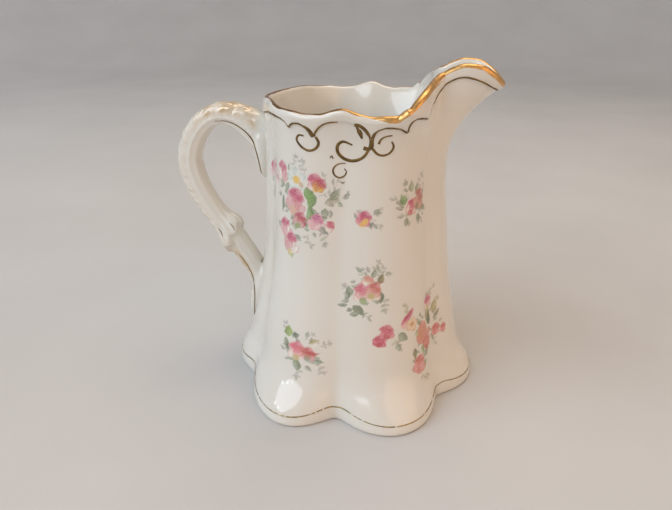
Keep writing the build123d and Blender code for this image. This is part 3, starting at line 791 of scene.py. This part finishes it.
def paint_bouquet():
    p = Print((-166, 59), (-84, 100), seed=3)
    p.foliage((-118, 82), 9.0, 16)
    p.foliage((-101, 84), 6.0, 10)
    p.foliage((-106, 74), 6.0, 9)
    p.foliage((-124, 71), 5.0, 8)
    p.foliage((-125, 90), 4.5, 6)
    p.sprigs(
        GREY, 0.62,
        (-127, 84, 100, 7), (-104, 85, 30, 6), (-96, 86, 60, 5), (-92, 84, 5, 4), (-113, 92, 95, 5),
        (-104, 73, -40, 6), (-127, 66, -70, 5), (-146, 84, 250, 5), (-121, 93, 100, 5), (-98, 88, 120, 5),
        (-110, 71, -100, 5))
    p.leaves(
        (-111.5, 88.0, 6.5, 1.9, -72, LEAF, 1.0), (-107.5, 85.6, 6.0, 1.8, -100, LEAF, 1.0),
        (-109.5, 80.8, 5.6, 1.7, -80, LEAF, 1.0), (-119, 79.0, 4.6, 1.2, 168, MOSS, 0.95),
        (-129, 83, 7.0, 0.9, -94, DARK_LEAF, 0.75), (-124, 88, 5.0, 1.1, -120, SAGE, 0.8),
        (-104, 74.0, 5.0, 1.2, -35, GREY, 0.8), (-101, 82.6, 6.0, 1.5, 12, (0.42, 0.38, 0.25), 0.65),
        (-97, 84.0, 5.4, 1.6, 50, SAGE, 0.6), (-90, 84.6, 3.4, 0.9, 30, GREY, 0.6),
        (-113, 76.4, 4.0, 1.1, -60, LEAF, 0.8), (-120.5, 65.6, 5.6, 1.3, -88, (0.50, 0.55, 0.18), 0.75),
        (-128, 70.0, 5.0, 1.0, -80, LEAF, 0.7))
    p.rose((-151, 91.0), 4.0, 92, foot=SAGE, long=1.6)
    p.rose((-143, 92.6), 3.6, 85, foot=SAGE, long=1.5)
    p.rose((-130, 93.6), 4.2, 88, foot=SAGE, long=1.7)
    p.rose((-137, 88.2), 2.6, 80, outer=BLUSH, foot=CREAM)
    p.blossom((-118.6, 89.8), 4.6, 20, outer=(0.80, 0.82, 0.76), inner=(0.42, 0.52, 0.46))
    p.drop((-119.0, 90.6), 3.0, 1.4, -40, YELLOW, 0.95)
    p.drop((-117.0, 88.6), 2.6, 1.0, -20, AMBER, 0.8)
    p.rose((-107.2, 91.4), 4.2, 100, foot=YELLOW, long=1.2)
    p.drop((-105.6, 89.4), 2.6, 1.5, -70, YELLOW, 0.95)
    p.rose((-102.6, 90.0), 3.4, 55, outer=RED, pale=YELLOW, foot=AMBER, long=1.1)
    p.rose((-117.6, 84.6), 5.8, 74, foot=(0.74, 0.46, 0.30), long=1.35)
    p.drop((-119.0, 82.6), 5.0, 1.4, -68, CORAL, 0.55)
    p.rose((-114.6, 77.0), 4.0, 70, outer=RED, pale=CREAM, foot=LEAF, long=1.2)
    p.drop((-112.0, 75.0), 1.8, 0.7, -80, MAGENTA, 0.9)
    p.rose((-104.2, 77.0), 4.2, 60, deep=(0.46, 0.05, 0.22), outer=(0.72, 0.26, 0.36), foot=BLUSH, long=1.1)
    p.rose((-96.4, 75.2), 2.8, 50, deep=RED, foot=CREAM, long=1.1)
    p.rose((-127.2, 73.4), 4.2, 95, foot=(0.52, 0.60, 0.32), long=1.8)
    p.rose((-121.2, 68.6), 4.2, 84, foot=(0.72, 0.62, 0.20), long=1.7)
    return p


def paint_bud():
    p = Print((-86, 70), (-62, 87), seed=5)
    p.foliage((-75, 78), 3.6, 6)
    p.sprig((-74.5, 78), -55, 5, strength=0.5)
    p.sprig((-72.5, 79), 40, 4, strength=0.4)
    p.leaf((-74.6, 76.6), 4.2, 0.9, -30, GREY, 0.5)
    p.rose((-77.0, 79.4), 4.0, 76, pale=BLUSH, foot=YELLOW, long=1.1)
    p.drop((-79.0, 79.4), 2.4, 1.0, 175, BLUSH, 0.6)
    p.drop((-77.2, 78.2), 2.6, 1.3, -70, YELLOW, 0.9)
    return p


def paint_spout_spray():
    p = Print((-64, 69), (-24, 96), seed=7)
    p.foliage((-45, 82), 6.5, 16)
    p.sprigs(
        GREY, 0.65,
        (-50, 84, 110, 6), (-52, 80, -100, 5), (-44, 78, -60, 5), (-38, 84, 40, 4), (-56, 84, 150, 4),
        (-43, 86, 80, 6))
    p.leaves(
        (-52.5, 82.0, 4.6, 1.5, 120, LEAF, 0.85), (-48, 86, 4.6, 1.5, 95, (0.36, 0.40, 0.20), 0.8),
        (-44.5, 85.6, 4.0, 1.1, 70, SAGE, 0.8), (-42.0, 78.0, 4.5, 1.3, -85, SAGE, 0.85),
        (-51.0, 77.6, 3.6, 1.1, -110, SAGE, 0.7), (-38.6, 81.6, 4.0, 1.0, -70, MOSS, 0.95),
        (-36.5, 80.0, 3.2, 0.9, -50, DARK_LEAF, 0.6))
    p.rose((-50.0, 81.4), 3.0, 120, outer=BLUSH, deep=ROSE, pale=BLUSH, foot=BLUSH, long=1.0)
    p.rose((-46.0, 82.2), 4.2, 60, foot=RED, long=1.1)
    p.rose((-39.4, 84.8), 4.6, 62, outer=(0.50, 0.14, 0.10), deep=RUST, pale=(0.70, 0.40, 0.30), foot=MOSS)
    return p


def paint_centre_spray():
    p = Print((-92, 37), (-58, 65), seed=9)
    p.foliage((-73, 54), 6.5, 15)
    p.foliage((-82, 47), 4.0, 7)
    p.sprigs(
        GREY, 0.65,
        (-80, 49, 160, 6), (-79, 46, -80, 6), (-70, 56, 60, 5), (-66, 50, -70, 6), (-75, 55, 110, 5),
        (-72, 58, 60, 5))
    p.leaves(
        (-84.0, 49.0, 4.2, 1.5, 100, SAGE, 0.95), (-84.6, 50.0, 3.2, 1.1, -120, DARK_LEAF, 0.6),
        (-82.4, 45.8, 5.4, 1.5, -42, (0.22, 0.27, 0.15), 0.95), (-79.0, 42.6, 3.6, 1.1, 190, SAGE, 0.8),
        (-67.0, 51.4, 4.6, 1.2, -95, DARK_LEAF, 0.8), (-68.0, 54, 4.6, 1.2, 75, MOSS, 0.85),
        (-72.0, 56.4, 4.0, 0.9, 70, SAGE, 0.7))
    p.rose((-76.4, 52.6), 5.2, 88, deep=ROSE, outer=(0.72, 0.20, 0.25), foot=LEAF, long=1.2)
    p.rose((-74.0, 56.2), 3.2, 70, deep=CORAL, outer=(0.72, 0.36, 0.26), pale=CREAM, foot=CREAM, long=0.9)
    p.rose((-69.6, 53.0), 4.4, 62, deep=RED, outer=CORAL, foot=STRAW, long=1.1)
    p.drop((-72.0, 54.2), 4.6, 0.8, 12, RUST, 0.6)
    return p


def paint_foot_spray():
    p = Print((-132, 12), (-90, 39), seed=11)
    p.foliage((-109, 26), 6.5, 13)
    p.sprigs(
        GREY, 0.6,
        (-118, 30, 120, 5), (-108, 30, 70, 4), (-110, 21, -80, 5), (-102, 28, 35, 5), (-103, 22, -30, 5))
    p.leaves(
        (-117.6, 30.0, 4.6, 1.7, 95, (0.30, 0.42, 0.08), 0.95),
        (-115.6, 30.6, 3.4, 1.1, 30, DARK_LEAF, 0.65), (-119.4, 29.6, 5.0, 1.2, -75, SAGE, 0.95),
        (-118.2, 27.0, 4.0, 1.0, -70, DARK_LEAF, 0.6), (-111, 22.4, 4.6, 1.5, -85, SAGE, 0.9),
        (-107, 23.0, 6.5, 1.1, -5, (0.30, 0.40, 0.28), 0.7), (-105.6, 29.0, 4.2, 0.9, 30, STRAW, 0.6))
    p.rose((-111.6, 27.4), 4.6, 90, deep=ROSE, outer=(0.78, 0.14, 0.18), pale=CREAM, foot=STRAW, long=1.2)
    p.rose((-104.6, 26.4), 4.4, 78, deep=RED, outer=CORAL, pale=BLUSH, foot=SAGE, long=0.8)
    p.drop((-108.0, 25.6), 6.0, 0.9, 2, RED, 0.75)
    p.drop((-104.0, 28.4), 4.0, 0.9, 15, CREAM, 0.7)
    return p


def paint_lobe_spray():
    p = Print((-76, 11), (-10, 51), seed=13)
    p.foliage((-34, 33), 9.0, 18, (MOSS, SAGE, STRAW))
    p.foliage((-42, 22), 4.5, 7, (MOSS, SAGE))
    p.sprigs(
        (0.33, 0.29, 0.13), 0.6,
        (-60, 33, -60, 5), (-50, 40, 120, 5), (-31, 43, 40, 5), (-28, 36, 60, 6), (-40, 25, -100, 6),
        (-30, 27, -60, 5), (-44, 16, -70, 4), (-22, 29, -70, 4), (-34, 37, 80, 7), (-41, 15, -40, 5))
    p.leaves(
        (-58, 34.0, 4.6, 1.7, -35, SAGE, 0.85), (-58.5, 31.0, 3.6, 1.2, -80, (0.36, 0.44, 0.30), 0.7),
        (-35, 34, 7.0, 1.4, 78, STRAW, 0.9), (-33, 32, 6.6, 1.3, 84, MOSS, 1.0),
        (-31, 31.6, 5.4, 1.0, 100, DARK_LEAF, 0.75), (-28, 36, 6.0, 1.5, 62, (0.50, 0.42, 0.13), 0.8),
        (-27, 33, 5.0, 1.0, 40, MOSS, 0.7), (-46, 33.4, 5.2, 1.5, -55, (0.42, 0.42, 0.10), 0.9),
        (-42, 32, 4.4, 1.0, -80, DARK_LEAF, 0.85), (-40, 27, 4.6, 1.4, -95, LEAF, 0.75),
        (-39, 23.4, 3.4, 1.5, -60, SAGE, 0.85), (-48, 27, 5.0, 1.1, -84, MOSS, 0.9),
        (-31, 28, 4.4, 1.0, -60, GREY, 0.6))
    p.rose((-68.0, 33.6), 3.8, 85, deep=RED, outer=ROSE, pale=ROSE, foot=RED, long=0.9)
    p.rose((-63.6, 37.2), 3.9, 82, deep=RED, outer=ROSE, pale=BLUSH, foot=RED, long=1.0)
    p.drop((-56.0, 37.4), 8.0, 1.4, 40, ROSE, 0.95)
    p.drop((-54.6, 38.6), 6.6, 0.7, 42, MAGENTA, 0.9)
    p.drop((-56.0, 36.6), 4.4, 1.5, 8, BLUSH, 0.8)
    p.blossom((-48.5, 36.6), 3.0, 0, outer=(0.84, 0.62, 0.40), inner=AMBER, heart=AMBER)
    p.rose((-32.6, 42.6), 3.9, 92, deep=MAGENTA, outer=ROSE, foot=STRAW, long=1.1)
    p.rose((-39.6, 34.0), 4.4, 96, deep=CORAL, outer=(0.66, 0.26, 0.12), pale=CORAL, foot=RED, long=1.9)
    p.rose((-35.6, 27.6), 3.6, 80, deep=RED, outer=CORAL, pale=CORAL, foot=RED, long=1.2)
    for at, size, turn, long in (((-25.8, 29.6), 3.6, 80, 1.0), ((-18.8, 28.4), 3.0, 70, 1.0),
                                 ((-43.2, 21.6), 4.4, 72, 1.3)):
        p.rose(at, size, turn, deep=RED, outer=CORAL, pale=BLUSH, foot=CORAL, long=long)
    return p


# The CAD node of each print, and what paints it.
PRINTS = {
    "transfer_bouquet": paint_bouquet,
    "transfer_bud": paint_bud,
    "transfer_spout_spray": paint_spout_spray,
    "transfer_centre_spray": paint_centre_spray,
    "transfer_foot_spray": paint_foot_spray,
    "transfer_lobe_spray": paint_lobe_spray,
}


def make_print(name, paint):
    """One transfer on both sides of the jug, with its pigment in two attributes."""
    vertices, faces, colour, cover = paint().mesh()
    count = len(vertices)
    obj = make_object(name.replace("transfer", "print"), *both_sides((vertices, faces)))
    pigment = obj.data.color_attributes.new("pigment", "FLOAT_COLOR", "POINT")
    values = np.ones((2 * count, 4))
    values[:, :3] = np.tile(colour, (2, 1))
    pigment.data.foreach_set("color", values.ravel())
    share = obj.data.attributes.new("cover", "FLOAT", "POINT")
    share.data.foreach_set("value", np.tile(cover, 2))
    return obj


# ---- materials ----
class Nodes:
    """Short way to add and link shader nodes."""

    def __init__(self, name):
        self.material = bpy.data.materials.new(name)
        self.material.use_nodes = True
        self.tree = self.material.node_tree
        self.shader = self.tree.nodes["Principled BSDF"]
        self.coordinates = self.tree.nodes.new("ShaderNodeTexCoord").outputs["Object"]

    def link(self, source, target):
        self.tree.links.new(source, target)

    def feed(self, key, source):
        """Links source to one input of the material's shader."""
        self.link(source, self.shader.inputs[key])

    def attribute(self, name):
        node = self.tree.nodes.new("ShaderNodeAttribute")
        node.attribute_name = name
        return node

    def noise(self, scale, detail=3.0, roughness=0.5):
        node = self.tree.nodes.new("ShaderNodeTexNoise")
        node.inputs["Scale"].default_value = scale
        node.inputs["Detail"].default_value = detail
        node.inputs["Roughness"].default_value = roughness
        self.link(self.coordinates, node.inputs["Vector"])
        return node.outputs["Fac"]

    def spread(self, value, low, high, to_low=0.0, to_high=1.0):
        node = self.tree.nodes.new("ShaderNodeMapRange")
        for key, number in zip(("From Min", "From Max", "To Min", "To Max"), (low, high, to_low, to_high)):
            node.inputs[key].default_value = number
        self.link(value, node.inputs["Value"])
        return node.outputs["Result"]

    def mix(self, factor, a, b):
        node = self.tree.nodes.new("ShaderNodeMix")
        node.data_type = "RGBA"
        for key, value in (("Factor", factor), ("A", a), ("B", b)):
            kind = "VALUE" if key == "Factor" else "RGBA"
            socket = [s for s in node.inputs if s.name == key and s.type == kind][0]
            if isinstance(value, tuple):
                socket.default_value = value + (1.0,)
            else:
                self.link(value, socket)
        return [s for s in node.outputs if s.type == "RGBA"][0]

    def math(self, operation, a, b):
        node = self.tree.nodes.new("ShaderNodeMath")
        node.operation = operation
        for socket, value in zip(node.inputs, (a, b)):
            if isinstance(value, float):
                socket.default_value = value
            else:
                self.link(value, socket)
        return node.outputs[0]

    def bump(self, height, strength, distance):
        node = self.tree.nodes.new("ShaderNodeBump")
        node.inputs["Strength"].default_value = strength
        node.inputs["Distance"].default_value = distance
        self.link(height, node.inputs["Height"])
        return node.outputs["Normal"]


PORCELAIN, AGED, KILN_DIRT = (0.81, 0.775, 0.70), (0.74, 0.67, 0.55), (0.35, 0.27, 0.18)
LUSTRE = (0.66, 0.45, 0.21)
GLAZE_IOR, COAT_WEIGHT, COAT_ROUGHNESS = 1.5, 0.6, 0.04


def porcelain_colour(nodes):
    """Warm white paste with faint toning and a few fine specks of kiln dirt."""
    toning = nodes.spread(nodes.noise(26.0, 4.0), 0.42, 0.78)
    colour = nodes.mix(nodes.math("MULTIPLY", toning, 0.30), PORCELAIN, AGED)
    specks = nodes.spread(nodes.noise(1500.0, 1.0), 0.76, 0.80)
    sparse = nodes.spread(nodes.noise(140.0, 1.0), 0.60, 0.66)
    share = nodes.math("MULTIPLY", nodes.math("MULTIPLY", specks, sparse), 0.5)
    return nodes.mix(share, colour, KILN_DIRT)


def glaze(nodes):
    """Clear glossy glaze: slightly uneven, with fine handling marks."""
    shader = nodes.shader
    wear = nodes.spread(nodes.noise(90.0, 5.0, 0.65), 0.35, 0.75, 0.10, 0.20)
    nodes.feed("Roughness", wear)
    uneven = nodes.noise(210.0, 2.0)
    nodes.feed("Normal", nodes.bump(uneven, 0.20, 0.00012))
    shader.inputs["IOR"].default_value = GLAZE_IOR
    shader.inputs["Coat Weight"].default_value = COAT_WEIGHT
    shader.inputs["Coat Roughness"].default_value = COAT_ROUGHNESS
    shader.inputs["Coat IOR"].default_value = GLAZE_IOR


def porcelain_material():
    nodes = Nodes("glazed_porcelain")
    nodes.feed("Base Color", porcelain_colour(nodes))
    glaze(nodes)
    return nodes.material


def handle_material():
    """The same porcelain with worn gold lustre over the back of the strap."""
    nodes = Nodes("gilded_porcelain")
    gilt = nodes.attribute("gilt")
    patchy = nodes.spread(nodes.noise(130.0, 5.0, 0.65), 0.34, 0.64, 0.25, 1.0)
    amount = nodes.math("MULTIPLY", nodes.math("MULTIPLY", gilt.outputs["Fac"], patchy), 0.85)
    nodes.feed("Base Color", nodes.mix(amount, porcelain_colour(nodes), LUSTRE))
    nodes.feed("Metallic", nodes.math("MULTIPLY", nodes.spread(amount, 0.35, 0.8), 0.35))
    glaze(nodes)
    return nodes.material


def print_material():
    """Transfer under the glaze: the same porcelain with pigment over it, grainy like a litho print."""
    nodes = Nodes("transfer_print")
    pigment = nodes.attribute("pigment")
    cover = nodes.attribute("cover")
    grain = nodes.spread(nodes.noise(2600.0, 2.0), 0.30, 0.60, 0.74, 1.0)
    amount = nodes.math("MULTIPLY", cover.outputs["Fac"], grain)
    colour = nodes.mix(amount, porcelain_colour(nodes), pigment.outputs["Color"])
    nodes.feed("Base Color", colour)
    glaze(nodes)
    return nodes.material


def gilding_material(name, bright, dull, wear_from, bright_from=None):
    """Fired gold, tarnished in patches and rubbed thin in places so that the glaze shows.

    bright_from is the x in metres before which the gold takes its dull colour all over, and past which it is
    brighter."""
    nodes = Nodes(name)
    tarnish = nodes.spread(nodes.noise(420.0, 4.0, 0.6), 0.35, 0.68)
    # Before bright_from, on the handle side of the rim, the gold takes its dull colour all over; past it the
    # gold is brighter.
    if bright_from is not None:
        place = nodes.tree.nodes.new("ShaderNodeSeparateXYZ")
        nodes.link(nodes.coordinates, place.inputs["Vector"])
        thin = nodes.spread(place.outputs["X"], bright_from - 0.006, bright_from + 0.003, 1.0, 0.0)
        tarnish = nodes.math("MAXIMUM", nodes.math("MULTIPLY", tarnish, 0.6), thin)
    gold = nodes.mix(tarnish, bright, dull)
    worn = nodes.spread(nodes.noise(900.0, 5.0, 0.7), wear_from, wear_from + 0.06)
    colour = nodes.mix(worn, gold, PORCELAIN)
    nodes.feed("Base Color", colour)
    nodes.feed("Metallic", nodes.spread(worn, 0.0, 1.0, 1.0, 0.0))
    nodes.feed("Roughness", nodes.spread(nodes.noise(700.0, 3.0), 0.3, 0.7, 0.24, 0.46))
    nodes.feed("Normal", nodes.bump(nodes.noise(1300.0, 3.0), 0.5, 0.00010))
    return nodes.material


def floor_material():
    nodes = Nodes("pale_floor")
    shade = nodes.mix(nodes.spread(nodes.noise(9.0, 4.0), 0.3, 0.7), (0.62, 0.61, 0.60), (0.67, 0.66, 0.65))
    nodes.feed("Base Color", shade)
    nodes.shader.inputs["Roughness"].default_value = 0.7
    return nodes.material


# ---- camera, lights, floor ----
CAMERA_AT = (0.0320, -0.2246, 0.1466)
CAMERA_HEADING, CAMERA_PITCH, CAMERA_ROLL = 10.12, 23.17, 0.81
CAMERA_LENS, CAMERA_SENSOR = 31.7, 36.0
JUG_MIDDLE = (0, 0, 0.06)
WORLD_COLOUR, WORLD_STRENGTH = (0.95, 0.92, 0.88, 1), 0.20


def add_camera():
    data = bpy.data.cameras.new("camera")
    data.lens, data.sensor_width = CAMERA_LENS, CAMERA_SENSOR
    data.clip_start, data.clip_end = 0.005, 20.0
    camera = bpy.data.objects.new("camera", data)
    bpy.context.scene.collection.objects.link(camera)
    turned = Matrix.Translation(CAMERA_AT)
    for degrees, axis in ((CAMERA_HEADING, "Z"), (90 - CAMERA_PITCH, "X"), (CAMERA_ROLL, "Z")):
        turned = turned @ Matrix.Rotation(radians(degrees), 4, axis)
    camera.matrix_world = turned
    bpy.context.scene.camera = camera


def add_light(name, at, size, power, colour):
    """Rectangular light that faces the middle of the jug."""
    data = bpy.data.lights.new(name, "AREA")
    data.shape, data.size, data.size_y = "RECTANGLE", size[0], size[1]
    data.energy, data.color = power, colour
    light = bpy.data.objects.new(name, data)
    light.location = at
    light.rotation_euler = (Vector(JUG_MIDDLE) - Vector(at)).to_track_quat("-Z", "Y").to_euler()
    bpy.context.scene.collection.objects.link(light)


def add_lights():
    world = bpy.data.worlds.new("studio")
    world.use_nodes = True
    background = world.node_tree.nodes["Background"]
    background.inputs["Color"].default_value = WORLD_COLOUR
    background.inputs["Strength"].default_value = WORLD_STRENGTH
    bpy.context.scene.world = world
    bpy.context.scene.view_settings.view_transform = "Standard"
    add_light("window", (-1.30, -1.05, 0.90), (2.4, 2.2), 50.0, (0.77, 0.88, 1.0))
    for shift in (-0.16, 0.0, 0.16):
        at = (-0.60 + 0.5 * shift, -0.42 - 0.85 * shift, 0.30)
        add_light("pane", at, (0.018, 0.08), 0.07, (0.95, 0.98, 1.0))
    add_light("room", (1.10, -0.60, 0.60), (1.5, 1.5), 7.6, (1.0, 0.57, 0.28))
    add_light("ceiling", (0.10, 0.25, 0.95), (0.6, 0.6), 3.0, (1.0, 0.84, 0.66))


FLOOR_RADIUS, SWEEP_RADIUS, WALL_HEIGHT = 1100.0, 700.0, 1500.0


def add_floor():
    """Pale floor that sweeps up into a round wall."""
    profile = [(1.0, 0.0), (FLOOR_RADIUS, 0.0)]
    for turn in np.linspace(0, pi / 2, 13)[1:]:
        profile.append((FLOOR_RADIUS + SWEEP_RADIUS * sin(turn), SWEEP_RADIUS * (1 - cos(turn))))
    profile.append((FLOOR_RADIUS + SWEEP_RADIUS, WALL_HEIGHT))
    count = 96
    turns = np.linspace(0, 2 * pi, count, endpoint=False)
    vertices = np.vstack([np.column_stack([r * np.cos(turns), r * np.sin(turns), np.full(count, z)])
                          for r, z in profile])
    faces = grid_faces(len(profile), count) + [tuple(range(count))]
    floor = make_object("floor", vertices, faces)
    floor.data.materials.append(floor_material())


# ---- assembly ----
def dress(obj, material, slot, *nodes):
    """Gives a piece its material and body, and hides the CAD nodes it stands for; slot is not used."""
    obj.data.materials.clear()
    obj.data.materials.append(material)
    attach(obj, "root")
    if nodes:
        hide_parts(*nodes)


add_camera()
add_lights()
add_floor()
porcelain, printed = porcelain_material(), print_material()
line_gold = gilding_material("drawn_gold", (0.30, 0.19, 0.07), (0.13, 0.09, 0.04), 0.66)
foot_gold = gilding_material("rubbed_gold", (0.46, 0.34, 0.14), (0.20, 0.16, 0.08), 0.55)
rim_gold = gilding_material("rim_gold", (0.92, 0.54, 0.20), (0.36, 0.20, 0.08), 0.68, 0.004)
dress(make_body(), porcelain, "porcelain", "body")
handle = make_handle()
dress(handle, handle_material(), "porcelain", "handle")
dress(make_handle_lines(handle), line_gold, "gilding")
dress(make_rim_gilding(), rim_gold, "gilding", "rim_gilding")
dress(make_shoulder_gilding(), line_gold, "gilding", "shoulder_gilding")
dress(make_foot_gilding(), foot_gold, "gilding", "foot_gilding")
for node, paint in PRINTS.items():
    dress(make_print(node, paint), printed, "transfer", node)
